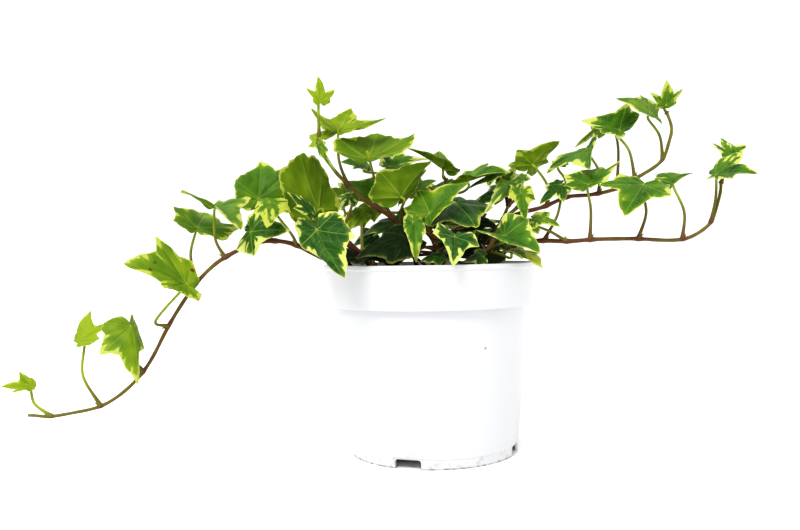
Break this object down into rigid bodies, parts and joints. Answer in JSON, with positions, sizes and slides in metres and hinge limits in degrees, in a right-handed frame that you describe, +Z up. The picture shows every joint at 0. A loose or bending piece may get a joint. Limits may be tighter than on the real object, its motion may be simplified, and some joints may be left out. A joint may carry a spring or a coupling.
{
  "type": "potted ivy",
  "caption": "Small variegated ivy with trailing shoots in a round tapered nursery pot that stands on its foot ring.",
  "frame": {"origin": "middle of the whole object's footprint, on the surface that the pot stands on", "axes": "+Z up, +X along the row of runners towards the right ones, -Y towards the viewer; the pot's axis is at X = 24.9 mm, Y = -0.9 mm"},
  "size_m": [0.3502, 0.1244, 0.179],
  "materials": {
    "white_plastic": "satin moulded plastic, a little soiled near the foot",
    "potting_mix": "crumbly dark potting mix of bark and peat",
    "ivy_stem": "smooth red-brown bark, olive to green towards the tips and on the leaf stalks",
    "ivy_leaf": "waxy green leaf with a cream margin, lighter veins and a matt paler underside"
  },
  "bodies": {
    "root": {"crown_back_shoot_leaf_1": "ivy_leaf", "crown_back_shoot_leaf_2": "ivy_leaf", "crown_back_shoot_leaf_3": "ivy_leaf", "crown_back_shoot_leaf_4": "ivy_leaf", "crown_back_shoot_stem": "ivy_stem", "crown_front_shoot_leaf_1": "ivy_leaf", "crown_front_shoot_leaf_2": "ivy_leaf", "crown_front_shoot_leaf_3": "ivy_leaf", "crown_front_shoot_leaf_4": "ivy_leaf", "crown_front_shoot_leaf_5": "ivy_leaf", "crown_front_shoot_stem": "ivy_stem", "crown_left_shoot_leaf_1": "ivy_leaf", "crown_left_shoot_leaf_2": "ivy_leaf", "crown_left_shoot_leaf_3": "ivy_leaf", "crown_left_shoot_stem": "ivy_stem", "crown_middle_shoot_leaf_1": "ivy_leaf", "crown_middle_shoot_leaf_2": "ivy_leaf", "crown_middle_shoot_leaf_3": "ivy_leaf", "crown_middle_shoot_leaf_4": "ivy_leaf", "crown_middle_shoot_stem": "ivy_stem", "crown_right_shoot_leaf_1": "ivy_leaf", "crown_right_shoot_leaf_2": "ivy_leaf", "crown_right_shoot_leaf_3": "ivy_leaf", "crown_right_shoot_leaf_4": "ivy_leaf", "crown_right_shoot_leaf_5": "ivy_leaf", "crown_right_shoot_stem": "ivy_stem", "left_runner_leaf_1": "ivy_leaf", "left_runner_leaf_2": "ivy_leaf", "left_runner_leaf_3": "ivy_leaf", "left_runner_leaf_4": "ivy_leaf", "left_runner_leaf_5": "ivy_leaf", "left_runner_leaf_6": "ivy_leaf", "left_runner_leaf_7": "ivy_leaf", "left_runner_leaf_8": "ivy_leaf", "left_runner_leaf_9": "ivy_leaf", "left_runner_stem": "ivy_stem", "pot": "white_plastic", "right_lower_runner_leaf_1": "ivy_leaf", "right_lower_runner_leaf_2": "ivy_leaf", "right_lower_runner_leaf_3": "ivy_leaf", "right_lower_runner_leaf_4": "ivy_leaf", "right_lower_runner_leaf_5": "ivy_leaf", "right_lower_runner_leaf_6": "ivy_leaf", "right_lower_runner_leaf_7": "ivy_leaf", "right_lower_runner_stem": "ivy_stem", "right_upper_runner_leaf_1": "ivy_leaf", "right_upper_runner_leaf_2": "ivy_leaf", "right_upper_runner_leaf_3": "ivy_leaf", "right_upper_runner_leaf_4": "ivy_leaf", "right_upper_runner_leaf_5": "ivy_leaf", "right_upper_runner_leaf_6": "ivy_leaf", "right_upper_runner_stem": "ivy_stem", "soil": "potting_mix", "upright_shoot_leaf_1": "ivy_leaf", "upright_shoot_leaf_2": "ivy_leaf", "upright_shoot_leaf_3": "ivy_leaf", "upright_shoot_leaf_4": "ivy_leaf", "upright_shoot_leaf_5": "ivy_leaf", "upright_shoot_leaf_6": "ivy_leaf", "upright_shoot_stem": "ivy_stem"}
  },
  "joints": []
}
